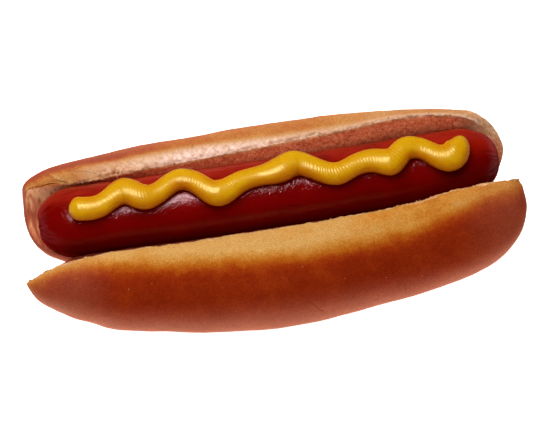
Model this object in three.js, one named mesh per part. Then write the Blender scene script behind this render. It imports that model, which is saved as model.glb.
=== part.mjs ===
// A hot dog: a bun sliced along one side and opened out, a frankfurter lying in the cut,
// and one squiggle of mustard along the top of the frankfurter.
// Millimetres. +X runs along the bun, +Y goes from the thick half to the thin half,
// +Z is up, and z = 0 is the surface that the bun lies on.
import * as THREE from "three";
import { ParametricGeometry } from "three/addons/geometries/ParametricGeometry.js";
import { mergeVertices } from "three/addons/utils/BufferGeometryUtils.js";

const { clamp, degToRad, lerp, radToDeg, smoothstep } = THREE.MathUtils;

// ---- Frankfurter ----
const FRANK_LENGTH = 141;
const FRANK_RADIUS = 10.9;
const FRANK_HEIGHT = 24; // its axis above the table
const FRANK_BOW = 1.3; // how far both ends bend to the thin half's side
const FRANK_SHIFT = 0.5; // towards the bun's right end
const FRANK_END = 13; // length of each rounded end
const FRANK_END_POWER = 2.05; // 2 is an ellipse, more is blunter

// ---- Bun ----
const FIT_GAP = 0.3; // between touching pieces
const SEAT_RADIUS = FRANK_RADIUS + FIT_GAP;
const HINGE_ANGLE = 35; // where the two halves join, in degrees from straight below the axis
const HINGE_SHARE = 0.48; // share of a section's steps on the thick half
const BACK_SHARE = 0.8; // share of its steps up to the thin half's back

// Over the last degrees before each rim the cut flares out from the seat, as that power of the way.
const FLARE_SPAN = { thick: 18, thin: 15 };
const FLARE_POWER = 1.3;

// Rims of the cut, as [along, side] and [along, height].
const THICK_RIM_SIDE = [[-75.5, -15.2], [-62, -13.9], [-20, -13.9], [35, -13.3], [60, -12], [75, -12.4]];
const THICK_RIM_HEIGHT = [[-75.5, 20.4], [-69, 24.7], [-61, 27.4], [-20, 28.3], [35, 29.3],
  [60, 32.8], [75, 33.2]];
const THIN_RIM_SIDE = [[-72, 10.8], [-52, 10.5], [-26, 12], [0, 13], [27, 14.4], [43, 15.6], [60, 14],
  [71, 10.5]];
const THIN_RIM_HEIGHT = [[-72, 30.2], [-52, 30.3], [-40, 31], [-26, 30.6], [0, 31.3], [27, 32.3],
  [43, 32.5], [60, 31], [71, 27]];

// The thick half's cut springs open at its left tip.
const GAPE = { width: 5, start: -59, run: 14 };

// Section of the crust half way along, as superellipse arcs: [side, height] of the centre,
// half width and half height, and the power.
const THICK_ARC = { centre: [-22.3, 15.6], half: [15.7, 16.6], power: 2.15 };
const FOLD = [-12, 1.8]; // crease under the bun, below the hinge
const HEEL_ARC = { centre: [2, 22], half: [22.5, 23.2], power: 3 };
const CROWN_ARC = { centre: [0, 22.5], half: [24.6, 9.3], power: 2 };
const END_BLEND = 0.35; // share of an arc over which it is drawn to its end point

// How far the crown's centre is moved to the side along the bun, while its back stays: the nearer
// to the back, the rounder the crown.
const CROWN_SIDE = [[-72, 15.4], [-41, 15.8], [-3, 16.5], [12, 16.2], [35, 15.5], [70, 15]];
// How full the thick half is along the bun, against its arc.
const THICK_FULLNESS = [[-75, 1.02], [-58, 1.08], [-40, 1], [-18, 0.98], [-5, 1.03], [8, 0.97], [20, 0.93],
  [33, 0.86], [45, 0.845], [58, 0.92], [75, 1]];
// How high the thin half's crown rises along the bun, against its arc.
const CROWN_FULLNESS = [[-75, 1.28], [-58, 1.3], [-45, 1.11], [-15, 0.93], [10, 0.97], [30, 1.08],
  [38, 1.21], [48, 1.28], [63, 1.4], [75, 1.15]];

// How far each step of the section reaches to the left and to the right: [share, along].
const LEFT_REACH = [[0, -75.5], [0.18, -74.5], [0.3, -71.5], [0.4, -63.5], [0.48, -58.5],
  [0.56, -67.5], [0.66, -72], [0.8, -72.4], [1, -70.8]];
const RIGHT_REACH = [[0, 73.5], [0.15, 74.3], [0.3, 71], [0.42, 65], [0.48, 63],
  [0.56, 66.5], [0.66, 72.5], [0.8, 74.4], [0.9, 69.6], [1, 65]];

// Bluntness of the four ends, and how far the crust bulges past the cut's end.
const END_POWER = { thickLeft: 2, thickRight: 3, thinLeft: 2.45, thinRight: 2.05 };
const END_BULGE = 2.2;
const BULGE_DEPTH = 12; // crumb thickness from which the bulge is full
const LUMP = 0.02; // unevenness of the crust, as a share of its depth

// ---- Mustard ----
const BEAD_WIDTH = 6.3;
const BEAD_HEIGHT = 4.2;
const BEAD_WAIST = 1.7; // height at which the bead is widest
const BEAD_BASE_POWER = 3; // squareness below the waist
// Guide points that pull the squiggle: along the frankfurter, and round its surface from the top.
const SQUIGGLE = [[-60, -2], [-54, -3], [-49.5, -2.5], [-43, 2.5], [-38.5, -2.5], [-32.5, -1], [-27, 3.5],
  [-21.5, 1], [-18, -3.5], [-13.5, -3.5], [-8.5, -0.5], [-1.5, 0], [4.5, 0.5], [8.5, 3],
  [13.5, -0.5], [20, -4], [25.5, -1], [32, -0.5], [37, -3.5], [41, 2], [47, 0.5], [51, -4],
  [57, -3.5], [59, 2.5]];
// How fat the bead is along the frankfurter, and how much thinner it is drawn where it slants most.
const BEAD_FULLNESS = [[-60, 1.02], [-48, 0.98], [-41, 1.18], [-34, 0.96], [-26, 0.98], [-16, 1.08],
  [-3, 0.88], [5, 1.18], [13, 1.02], [28, 0.96], [37, 1.14], [48, 0.97], [57, 1.35]];
const SLANT_THINNING = 0.08;
const TAIL = { length: 7, width: 0.62 }; // the tip drawn out as the bottle lifts off
const TURN_SOFTENING = 2; // the bead's section faces along the chord that far to both sides

// ---- Facets ----
const BUN_STEPS = { along: 50, across: 22 };
const FRANK_STEPS = { end: 9, middle: 18, around: 24 };
const BEAD_STEPS = { along: 112, around: 10 };

// The smooth curve through [position, value] stations, level beyond both ends.
function curveThrough(stations) {
  const positions = stations.map(([position]) => position);
  const curve = new THREE.CubicInterpolant(positions, stations.map(([, value]) => value), 1);
  return (position) => curve.evaluate(clamp(position, positions[0], positions.at(-1)))[0];
}

const thickRimSide = curveThrough(THICK_RIM_SIDE);
const thickRimHeight = curveThrough(THICK_RIM_HEIGHT);
const thinRimSide = curveThrough(THIN_RIM_SIDE);
const thinRimHeight = curveThrough(THIN_RIM_HEIGHT);
const thickFullness = curveThrough(THICK_FULLNESS);
const crownSide = curveThrough(CROWN_SIDE);
const crownFullness = curveThrough(CROWN_FULLNESS);
const leftReach = curveThrough(LEFT_REACH);
const rightReach = curveThrough(RIGHT_REACH);
const beadFullness = curveThrough(BEAD_FULLNESS);

// The frankfurter's axis at x: its side and height.
function axisAt(x) {
  return new THREE.Vector2(FRANK_BOW * ((x - FRANK_SHIFT) / (FRANK_LENGTH / 2)) ** 2, FRANK_HEIGHT);
}

function rimsAt(x) {
  return {
    thick: new THREE.Vector2(thickRimSide(x), thickRimHeight(x)),
    thin: new THREE.Vector2(thinRimSide(x), thinRimHeight(x)),
  };
}

// The cut face, round the frankfurter's axis: it follows the seat, and flares out to both rims.
function cutFace(x, share) {
  const axis = axisAt(x);
  const { thick, thin } = rimsAt(x);
  const toThick = thick.sub(axis);
  const toThin = thin.sub(axis);
  const thickAngle = radToDeg(Math.atan2(-toThick.x, -toThick.y));
  const thinAngle = radToDeg(Math.atan2(-toThin.x, -toThin.y));
  const angle =
    share < HINGE_SHARE
      ? lerp(thickAngle, HINGE_ANGLE, share / HINGE_SHARE)
      : lerp(HINGE_ANGLE, thinAngle, (share - HINGE_SHARE) / (1 - HINGE_SHARE));
  const gape = angle > HINGE_ANGLE ? GAPE.width * smoothstep(GAPE.start - x, 0, GAPE.run) : 0;
  const seat = SEAT_RADIUS + gape;
  const thickFlare = clamp(1 - (thickAngle - angle) / FLARE_SPAN.thick, 0, 1) ** FLARE_POWER;
  const thinFlare = clamp(1 - (angle - thinAngle) / FLARE_SPAN.thin, 0, 1) ** FLARE_POWER;
  const radius = seat + (toThick.length() - seat) * thickFlare + (toThin.length() - seat) * thinFlare;
  const turn = degToRad(angle);
  return new THREE.Vector2(axis.x - radius * Math.sin(turn), axis.y - radius * Math.cos(turn));
}

// A point of a superellipse arc from start to end, with its radius drawn to both end points. The
// shift moves its centre to the side, and its far side stays.
function arcPoint(share, { centre, half, power }, start, end, fullness = [1, 1], shift = 0) {
  const middle = new THREE.Vector2(centre[0] + shift, centre[1]);
  const [width, height] = [(half[0] - shift) * fullness[0], half[1] * fullness[1]];
  const radiusAt = (angle) => {
    const [across, up] = [Math.abs(Math.cos(angle) / width), Math.abs(Math.sin(angle) / height)];
    return (across ** power + up ** power) ** (-1 / power);
  };
  const fromStart = start.clone().sub(middle);
  const fromEnd = end.clone().sub(middle);
  const startAngle = fromStart.angle();
  const endAngle = fromEnd.angle() + (fromEnd.angle() < startAngle ? 2 * Math.PI : 0);
  const angle = lerp(startAngle, endAngle, share);
  const atStart = fromStart.length() / radiusAt(startAngle) - 1;
  const atEnd = fromEnd.length() / radiusAt(endAngle) - 1;
  const nearStart = 1 - smoothstep(share, 0, END_BLEND);
  const nearEnd = smoothstep(share, 1 - END_BLEND, 1);
  const drawn = atStart * nearStart + atEnd * nearEnd;
  const radius = radiusAt(angle) * (1 + drawn);
  return middle.add(new THREE.Vector2(radius * Math.cos(angle), radius * Math.sin(angle)));
}

// The crust of a section half way along: round the thick half to the fold, under and up the
// thin half's heel to its back, and over its crown.
function crust(x, share) {
  const { thick, thin } = rimsAt(x);
  const fold = new THREE.Vector2(...FOLD);
  const back = new THREE.Vector2(HEEL_ARC.centre[0] + HEEL_ARC.half[0], HEEL_ARC.centre[1]);
  const full = thickFullness(x);
  if (share < HINGE_SHARE) return arcPoint(share / HINGE_SHARE, THICK_ARC, thick, fold, [full, full]);
  if (share < BACK_SHARE) {
    return arcPoint((share - HINGE_SHARE) / (BACK_SHARE - HINGE_SHARE), HEEL_ARC, fold, back);
  }
  const crownShare = (share - BACK_SHARE) / (1 - BACK_SHARE);
  return arcPoint(crownShare, CROWN_ARC, back, thin, [1, crownFullness(x)], crownSide(x));
}

// How thick the bun still is at a place from -1 (left end) to 1 (right end), from 0 to 1.
function taper(place, share) {
  const thinHalf = smoothstep(share, 0.4, 0.6);
  const power =
    place < 0
      ? lerp(END_POWER.thickLeft, END_POWER.thinLeft, thinHalf)
      : lerp(END_POWER.thickRight, END_POWER.thinRight, thinHalf);
  return Math.max(1 - Math.abs(place) ** power, 0) ** (1 / power);
}

// A point of the bun's skin: round its section, over the crust from the thick rim to the thin one
// (around from 0 to 0.5), and back over the cut face.
function bunPoint(around, along, target) {
  const share = around < 0.5 ? 2 * around : 2 - 2 * around;
  const place = Math.sin((along - 0.5) * Math.PI);
  const left = leftReach(share);
  const right = rightReach(share);
  const x = (left + right) / 2 + ((right - left) / 2) * place;
  const cut = cutFace(x, share);
  if (around >= 0.5) return target.set(x, cut.x, cut.y);
  const outer = crust(x, share);
  const full = taper(place, share);
  const bulge = END_BULGE * clamp(outer.distanceTo(cut) / BULGE_DEPTH, 0, 1) * 4 * full * (1 - full);
  const lump = 1 + LUMP * Math.sin(0.13 * x + 9 * share) * Math.sin(0.07 * x - 4 * share);
  const point = cut.lerp(outer, full * lump);
  return target.set(x + Math.sign(place) * bulge, point.x, Math.max(point.y, 0));
}

// One closed geometry: the borders that meet are joined.
function closed(geometry) {
  geometry.deleteAttribute("normal");
  geometry.deleteAttribute("uv");
  return mergeVertices(geometry, 1e-3);
}

function bunGeometry() {
  return closed(new ParametricGeometry(bunPoint, 2 * BUN_STEPS.across, BUN_STEPS.along));
}

// A turned profile from end to end, then bent along its bow.
function frankGeometry() {
  const half = FRANK_LENGTH / 2;
  const straight = half - FRANK_END;
  const end = Array.from({ length: FRANK_STEPS.end }, (_, i) => {
    const turn = (i / FRANK_STEPS.end) * (Math.PI / 2);
    const along = straight + FRANK_END * Math.cos(turn) ** (2 / FRANK_END_POWER);
    return new THREE.Vector2(FRANK_RADIUS * Math.sin(turn) ** (2 / FRANK_END_POWER), along);
  });
  const middle = Array.from({ length: FRANK_STEPS.middle + 1 }, (_, i) =>
    new THREE.Vector2(FRANK_RADIUS, lerp(straight, -straight, i / FRANK_STEPS.middle)));
  const mirrored = end.map(({ x, y }) => new THREE.Vector2(x, -y)).reverse();
  const profile = [...end, ...middle, ...mirrored].reverse();
  const geometry = new THREE.LatheGeometry(profile, FRANK_STEPS.around);
  geometry.rotateZ(-Math.PI / 2).translate(FRANK_SHIFT, 0, 0);
  const position = geometry.attributes.position;
  for (let i = 0; i < position.count; i++) {
    const axis = axisAt(position.getX(i));
    position.setY(i, position.getY(i) + axis.x);
    position.setZ(i, position.getZ(i) + axis.y);
  }
  return closed(geometry);
}

// The cubic B-spline that its guide points pull, from the first to the last.
class GuidedCurve extends THREE.Curve {
  constructor(guide) {
    super();
    this.guide = [guide[0], guide[0], ...guide, guide.at(-1), guide.at(-1)];
    this.arcLengthDivisions = 100 * guide.length;
  }

  getPoint(share, target = new THREE.Vector2()) {
    const spans = this.guide.length - 3;
    const span = Math.min(Math.floor(share * spans), spans - 1);
    const t = share * spans - span;
    const weights = [
      (1 - t) ** 3,
      4 - 6 * t ** 2 + 3 * t ** 3,
      1 + 3 * t + 3 * t ** 2 - 3 * t ** 3,
      t ** 3,
    ];
    target.set(0, 0);
    weights.forEach((weight, i) => target.addScaledVector(this.guide[span + i], weight / 6));
    return target;
  }
}

// The bead of mustard: a domed section carried along the squiggle, wrapped round the frankfurter.
function beadGeometry() {
  const path = new GuidedCurve(SQUIGGLE.map(([x, side]) => new THREE.Vector2(x, side)));
  const length = path.getLength();
  const base = FRANK_RADIUS + FIT_GAP;

  // Size of the section at a distance from the start: round at both ends, drawn out at the tail.
  function sizeAt(distance, centre, tangent) {
    const toEnd = length - distance;
    const round = (gap, run) => Math.sqrt(Math.max(1 - (1 - Math.min(gap / run, 1)) ** 2, 0));
    const tail = lerp(TAIL.width, 1, smoothstep(toEnd, 0, TAIL.length));
    const fullness = beadFullness(centre.x) * (1 - SLANT_THINNING * Math.abs(tangent.y));
    return fullness * tail * round(distance, BEAD_WIDTH / 2) * round(toEnd, (BEAD_WIDTH * TAIL.width) / 2);
  }

  // Offset from the path and height over the frankfurter, at a turn round the section.
  function sectionAt(turn) {
    const [across, up] = [Math.cos(turn), Math.sin(turn)];
    if (up >= 0) return [(BEAD_WIDTH / 2) * across, BEAD_WAIST + (BEAD_HEIGHT - BEAD_WAIST) * up];
    const square = (value) => Math.sign(value) * Math.abs(value) ** (2 / BEAD_BASE_POWER);
    return [(BEAD_WIDTH / 2) * square(across), BEAD_WAIST * (1 + square(up))];
  }

  return closed(new ParametricGeometry((around, along, target) => {
    // Steps are closer together at both ends, where the bead rounds off.
    const share = (1 - Math.cos(along * Math.PI)) / 2;
    const even = lerp(share, along, smoothstep(Math.min(along, 1 - along), 0, 0.1));
    const centre = path.getPointAt(even);
    const reach = TURN_SOFTENING / length;
    const tangent = path.getPointAt(Math.min(even + reach, 1));
    tangent.sub(path.getPointAt(Math.max(even - reach, 0))).normalize();
    const size = sizeAt(even * length, centre, tangent);
    const [offset, height] = sectionAt(around * 2 * Math.PI);
    const x = centre.x - tangent.y * offset * size;
    const angle = (centre.y + tangent.x * offset * size) / base;
    const radius = base + height * size;
    const axis = axisAt(x);
    return target.set(x, axis.x + radius * Math.sin(angle), axis.y + radius * Math.cos(angle));
  }, BEAD_STEPS.around, BEAD_STEPS.along));
}

function piece(name, geometry, color, roughness) {
  const material = new THREE.MeshStandardMaterial({ color, roughness, metalness: 0 });
  const mesh = new THREE.Mesh(geometry, material);
  mesh.name = name;
  return mesh;
}

const hotDog = new THREE.Group();
hotDog.add(piece("bun", bunGeometry(), 0xc07a3a, 0.6));
hotDog.add(piece("sausage", frankGeometry(), 0x7a1410, 0.35));
hotDog.add(piece("mustard", beadGeometry(), 0xe8b422, 0.4));

// The origin is the middle of the footprint, on the table.
const bounds = new THREE.Box3().setFromObject(hotDog);
const centre = bounds.getCenter(new THREE.Vector3());
hotDog.position.set(-centre.x, -centre.y, -bounds.min.z);

export default hotDog;
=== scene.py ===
"""A hot dog for a studio picture: bread, frankfurter and mustard as surfaces worked out on numpy
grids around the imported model. Lengths are in millimetres until a mesh is made in metres.
+X runs along the bun, +Y goes from the thick half to the thin half, +Z is up."""
import math
from types import SimpleNamespace

import bpy
import numpy as np
from mathutils import Matrix, Vector


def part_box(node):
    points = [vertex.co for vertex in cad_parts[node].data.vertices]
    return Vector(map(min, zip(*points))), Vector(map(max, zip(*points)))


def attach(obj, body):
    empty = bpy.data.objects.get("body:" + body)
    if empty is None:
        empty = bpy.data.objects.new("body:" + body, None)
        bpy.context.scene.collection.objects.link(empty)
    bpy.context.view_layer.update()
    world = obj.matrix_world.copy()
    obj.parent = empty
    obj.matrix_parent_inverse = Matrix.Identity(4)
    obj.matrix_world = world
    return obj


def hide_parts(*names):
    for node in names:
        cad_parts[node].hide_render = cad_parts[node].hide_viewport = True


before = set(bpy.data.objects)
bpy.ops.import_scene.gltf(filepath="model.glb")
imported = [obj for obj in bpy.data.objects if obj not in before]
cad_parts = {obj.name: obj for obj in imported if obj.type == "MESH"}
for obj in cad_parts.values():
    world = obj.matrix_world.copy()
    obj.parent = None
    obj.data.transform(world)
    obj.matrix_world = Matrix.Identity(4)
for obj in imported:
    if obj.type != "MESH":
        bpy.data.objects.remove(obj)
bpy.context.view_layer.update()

MM = 0.001
TAU = 2 * np.pi


# ---- Curves and noise ----
def ease(value, low, high):
    """0 at low, 1 at high, 3t^2 - 2t^3 between them and level beyond. Low may be the greater."""
    t = np.clip((value - low) / (high - low), 0, 1)
    return t * t * (3 - 2 * t)


def lerp(a, b, t):
    return a + (b - a) * t


def stacked(*parts):
    """One grid with the parts side by side in its last axis."""
    return np.stack(np.broadcast_arrays(*parts), axis=-1)


def bell(value, width):
    """A bump of height 1 at 0 that falls off as exp(-(value/width)^2)."""
    return np.exp(-((value / width) ** 2))


def curve(stations):
    """A smooth curve of cubics through (position, value) stations, level beyond both ends."""
    at, value = np.array(stations, float).T
    chord = np.diff(value) / np.diff(at)
    slope = np.concatenate([chord[:1], (chord[1:] + chord[:-1]) / 2, chord[-1:]])

    def value_at(position):
        x = np.clip(position, at[0], at[-1])
        i = np.clip(np.searchsorted(at, x, side="right") - 1, 0, len(at) - 2)
        run = at[i + 1] - at[i]
        t = (x - at[i]) / run
        ends = value[i] * (1 + 2 * t) * (1 - t) ** 2 + value[i + 1] * t * t * (3 - 2 * t)
        return ends + run * t * (1 - t) * (slope[i] * (1 - t) - slope[i + 1] * t)

    return value_at


LATTICE = {"noise": 32, "pits": 16, "shift": 1000}


def noise(points, size, seed):
    """Random heights from -1 to 1 at the corners of cells of that size, blended smoothly between them."""
    table = np.random.default_rng(seed).uniform(-1, 1, (LATTICE["noise"],) * 3)
    cell = points / size + LATTICE["shift"]
    base = np.floor(cell).astype(int)
    t = cell - base
    t = t * t * t * (t * (t * 6 - 15) + 10)
    total = 0
    for corner in np.ndindex(2, 2, 2):
        weight = np.prod(np.where(corner, t, 1 - t), axis=-1)
        x, y, z = np.moveaxis((base + corner) % LATTICE["noise"], -1, 0)
        total = total + weight * table[x, y, z]
    return total


def rough(points, size, seed):
    """Noise of that size, with a half as much at half the size and a quarter at a quarter."""
    return sum(noise(points, size / 2**k, seed + k) / 2**k for k in range(3))


def pits(points, size, seed):
    """Rounded pits of about that size: 1 at a cell's random middle, down to 0 half a cell away."""
    spots = np.random.default_rng(seed).uniform(0, 1, (LATTICE["pits"],) * 3 + (3,))
    cell = points / size + LATTICE["shift"]
    base = np.floor(cell).astype(int)
    nearest = np.full(points.shape[:-1], np.inf)
    for step in np.ndindex(3, 3, 3):
        corner = base + np.array(step) - 1
        x, y, z = np.moveaxis(corner % LATTICE["pits"], -1, 0)
        gap = np.linalg.norm(corner + spots[x, y, z] - cell, axis=-1)
        nearest = np.minimum(nearest, gap)
    return np.clip(1 - 2 * nearest, 0, 1)


def layered(points, layers):
    """Layers of relief added up, each (kind of noise, height, size, seed)."""
    return sum(height * kind(points, size, seed) for kind, height, size, seed in layers)


def with_bumps(value, x, gap, bumps):
    """The value plus round bumps, each (along, distance from the rim, size, amount)."""
    for at, off, size, amount in bumps:
        value = value + amount * bell(np.hypot(x - at, gap - off), size)
    return value


def end_steps(count, end):
    """Places from -1 to 1 that get closer and closer over the last steps at both ends."""
    from_end = np.minimum(np.arange(count), np.arange(count)[::-1]) + 0.5
    step = np.minimum(from_end, end)
    return np.concatenate([[0], np.cumsum(step)]) / step.sum() * 2 - 1


# ---- Driving dimensions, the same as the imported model's ----
FRANK_LENGTH = 141
FRANK_RADIUS = 10.9
FRANK_BOW = 1.3
FRANK_SHIFT = 0.5
FRANK_END = 13
FRANK_END_POWER = 2.05

FIT_GAP = 0.3
SEAT_RADIUS = FRANK_RADIUS + FIT_GAP
HINGE_ANGLE = 35
HINGE_SHARE = 0.48
FLARE_SPAN = {"thick": 18, "thin": 15}
FLARE_POWER = 1.3
BACK_SHARE = 0.8
thick_rim_side = curve([
    (-75.5, -15.2), (-62, -13.9), (-20, -13.9), (35, -13.3), (60, -12), (75, -12.4),
])
thick_rim_height = curve([
    (-75.5, 20.4), (-69, 24.7), (-61, 27.4), (-20, 28.3), (35, 29.3), (60, 32.8), (75, 33.2),
])
thin_rim_side = curve([
    (-72, 10.8), (-52, 10.5), (-26, 12), (0, 13), (27, 14.4), (43, 15.6), (60, 14), (71, 10.5),
])
thin_rim_height = curve([
    (-72, 30.2), (-52, 30.3), (-40, 31), (-26, 30.6), (0, 31.3), (27, 32.3), (43, 32.5), (60, 31), (71, 27),
])
GAPE = {"width": 5, "start": -59, "run": 14}
THICK_ARC = {"centre": (-22.3, 15.6), "half": (15.7, 16.6), "power": 2.15}
FOLD = (-12, 1.8)
HEEL_ARC = {"centre": (2, 22), "half": (22.5, 23.2), "power": 3}
BACK = (24.5, 22)
CROWN_ARC = {"centre": (0, 22.5), "half": (24.6, 9.3), "power": 2}
crown_side = curve([(-72, 15.4), (-41, 15.8), (-3, 16.5), (12, 16.2), (35, 15.5), (70, 15)])
END_BLEND = 0.35
thick_fullness = curve([
    (-75, 1.02), (-58, 1.08), (-40, 1), (-18, 0.98), (-5, 1.03), (8, 0.97), (20, 0.93), (33, 0.86),
    (45, 0.845), (58, 0.92), (75, 1),
])
crown_fullness = curve([
    (-75, 1.28), (-58, 1.3), (-45, 1.11), (-15, 0.93), (10, 0.97), (30, 1.08), (38, 1.21), (48, 1.28),
    (63, 1.4), (75, 1.15),
])
left_reach = curve([
    (0, -75.5), (0.18, -74.5), (0.3, -71.5), (0.4, -63.5), (0.48, -58.5), (0.56, -67.5), (0.66, -72),
    (0.8, -72.4), (1, -70.8),
])
right_reach = curve([
    (0, 73.5), (0.15, 74.3), (0.3, 71), (0.42, 65), (0.48, 63), (0.56, 66.5), (0.66, 72.5), (0.8, 74.4),
    (0.9, 69.6), (1, 65),
])
# Powers of the superellipses at both ends: (thick half, thin half).
END_POWER = {"left": (2, 2.45), "right": (3, 2.05)}
END_BULGE = 2.2
BULGE_DEPTH = 12
LUMP = 0.02

BEAD_WIDTH = 6.3
BEAD_HEIGHT = 4.2
BEAD_WAIST = 1.7
BEAD_BASE_POWER = 3
SQUIGGLE = [(-60, -2), (-54, -3), (-49.5, -2.5), (-43, 2.5), (-38.5, -2.5), (-32.5, -1), (-27, 3.5),
            (-21.5, 1), (-18, -3.5), (-13.5, -3.5), (-8.5, -0.5), (-1.5, 0), (4.5, 0.5), (8.5, 3),
            (13.5, -0.5), (20, -4), (25.5, -1), (32, -0.5), (37, -3.5), (41, 2), (47, 0.5), (51, -4),
            (57, -3.5), (59, 2.5)]
bead_fullness = curve([
    (-60, 1.02), (-48, 0.98), (-41, 1.18), (-34, 0.96), (-26, 0.98), (-16, 1.08), (-3, 0.88), (5, 1.18),
    (13, 1.02), (28, 0.96), (37, 1.14), (48, 0.97), (57, 1.35),
])
SLANT_THINNING = 0.08
TAIL = {"length": 7, "width": 0.62}
TURN_SOFTENING = 2

# Where the model's own origin and the frankfurter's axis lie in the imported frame.
frank_low, frank_high = (np.array(corner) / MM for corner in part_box("sausage"))
ORIGIN = np.array([(frank_low[0] + frank_high[0]) / 2 - FRANK_SHIFT, frank_low[1] + FRANK_RADIUS, 0])
FRANK_HEIGHT = frank_low[2] + FRANK_RADIUS

# ---- Steps of the grids ----
BUN_STEPS = {"along": 318, "across": 155, "end": 15, "crowding": 0.42}
FRANK_STEPS = {"along": 340, "around": 132, "end": 16}
BEAD_STEPS = {"along": 760, "around": 60, "end": 14}


def axis_side(x):
    """How far to the side the frankfurter's axis lies at x."""
    return FRANK_BOW * ((x - FRANK_SHIFT) / (FRANK_LENGTH / 2)) ** 2


# ---- Meshes ----
def vertex_normals(points, quads):
    """Unit normals: the cross products of each face's diagonals, added up at its corners."""
    a, b, c, d = (points[quads[:, i]] for i in range(4))
    face = np.cross(c - a, d - b)
    total = stacked(*(np.bincount(quads.ravel(), np.repeat(face[:, i], 4), len(points)) for i in range(3)))
    return total / np.maximum(np.linalg.norm(total, axis=1, keepdims=True), 1e-12)


def tube_values(grid, at_tips):
    """A closed tube's values: those of the rings between both ends, then the two tips'."""
    return np.concatenate([grid[1:-1].reshape(-1, *grid.shape[2:]), at_tips])


def close_tube(body, flip=False):
    """A closed skin from rings [along, around, 3], with a tip in the middle of each end ring."""
    rows, ring = body.shape[0] - 2, body.shape[1]
    number = np.arange(rows * ring).reshape(rows, ring)
    turned = np.roll(number, -1, axis=1)
    faces = stacked(number[:-1], number[1:], turned[1:], turned[:-1]).reshape(-1, 4).tolist()
    low, high = rows * ring, rows * ring + 1
    faces += [[low, a, b] for a, b in zip(number[0].tolist(), turned[0].tolist())]
    faces += [[high, b, a] for a, b in zip(number[-1].tolist(), turned[-1].tolist())]
    if flip:
        faces = [[first, *reversed(rest)] for first, *rest in faces]
    return tube_values(body, body[[0, -1]].mean(axis=1)), faces


def add_object(name, data):
    """A new object in the scene."""
    thing = bpy.data.objects.new(name, data)
    bpy.context.scene.collection.objects.link(thing)
    return thing


def make_piece(name, points, faces, material, attributes):
    """A smooth mesh that rides on the one body, with one number or three for each point as attributes."""
    mesh = bpy.data.meshes.new(name)
    mesh.from_pydata((points + ORIGIN) * MM, [], faces)
    for key, values in attributes.items():
        kind, field = ("FLOAT", "value") if values.ndim == 1 else ("FLOAT_VECTOR", "vector")
        layer = mesh.attributes.new(key, kind, "POINT")
        layer.data.foreach_set(field, values.astype(np.float32).ravel())
    mesh.shade_smooth()
    mesh.materials.append(material)
    piece = add_object(name, mesh)
    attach(piece, "root")
    return piece


# ---- Bun ----
def rims(x):
    """Side and height of the thick half's rim and of the thin half's."""
    return np.array([[thick_rim_side(x), thick_rim_height(x)], [thin_rim_side(x), thin_rim_height(x)]])


def cut_face(x, share):
    """The cut: round the frankfurter's axis at the seat's radius, flaring out to both rims."""
    axis = np.stack([axis_side(x), np.full_like(x, FRANK_HEIGHT)])
    to_thick, to_thin = (rim - axis for rim in rims(x))
    thick_angle, thin_angle = (np.degrees(np.arctan2(-to[0], -to[1])) for to in (to_thick, to_thin))
    angle = np.where(
        share < HINGE_SHARE,
        lerp(thick_angle, HINGE_ANGLE, share / HINGE_SHARE),
        lerp(HINGE_ANGLE, thin_angle, (share - HINGE_SHARE) / (1 - HINGE_SHARE)),
    )
    opening = GAPE["width"] * ease(GAPE["start"] - x, 0, GAPE["run"])
    seat = SEAT_RADIUS + np.where(angle > HINGE_ANGLE, opening, 0)
    thick_rise = np.clip(1 - (thick_angle - angle) / FLARE_SPAN["thick"], 0, 1)
    thin_rise = np.clip(1 - (angle - thin_angle) / FLARE_SPAN["thin"], 0, 1)
    radius = seat + (np.hypot(*to_thick) - seat) * thick_rise**FLARE_POWER
    radius = radius + (np.hypot(*to_thin) - seat) * thin_rise**FLARE_POWER
    turn = np.radians(angle)
    return axis - radius * np.stack([np.sin(turn), np.cos(turn)])


def arc_point(share, arc, start, end, fullness, shift):
    """A superellipse arc from start to end, drawn to both near them. The shift moves its centre to the
    side, and its far side stays."""
    middle = np.stack([arc["centre"][0] + shift, arc["centre"][1] + 0 * shift])
    width, height = (arc["half"][0] - shift) * fullness[0], arc["half"][1] * fullness[1]
    power = arc["power"]

    def radius_at(angle):
        across, up = np.abs(np.cos(angle) / width), np.abs(np.sin(angle) / height)
        return (across**power + up**power) ** (-1 / power)

    from_start, from_end = start - middle, end - middle
    start_angle, end_angle = (np.arctan2(to[1], to[0]) % TAU for to in (from_start, from_end))
    end_angle = end_angle + np.where(end_angle < start_angle, TAU, 0)
    angle = lerp(start_angle, end_angle, share)
    at_start = np.hypot(*from_start) / radius_at(start_angle) - 1
    at_end = np.hypot(*from_end) / radius_at(end_angle) - 1
    drawn = at_start * (1 - ease(share, 0, END_BLEND)) + at_end * ease(share, 1 - END_BLEND, 1)
    radius = radius_at(angle) * (1 + drawn)
    return middle + radius * np.stack([np.cos(angle), np.sin(angle)])


def crust(x, share):
    """The crust half way along: the thick half to the fold, the heel to its back, then the crown."""
    thick, thin = rims(x)
    fold, back = (np.reshape(point, (2, 1, 1)) + 0 * thick for point in (FOLD, BACK))
    full = thick_fullness(x)
    steps = (0, HINGE_SHARE, BACK_SHARE, 1)
    thick_share, heel_share, crown_share = (
        np.clip((share - low) / (high - low), 0, 1) for low, high in zip(steps, steps[1:])
    )
    thick_half = arc_point(thick_share, THICK_ARC, thick, fold, (full, full), 0 * x)
    heel = arc_point(heel_share, HEEL_ARC, fold, back, (1, 1), 0 * x)
    crown = arc_point(crown_share, CROWN_ARC, back, thin, (1, crown_fullness(x)), crown_side(x))
    return np.where(share < HINGE_SHARE, thick_half, np.where(share < BACK_SHARE, heel, crown))


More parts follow.
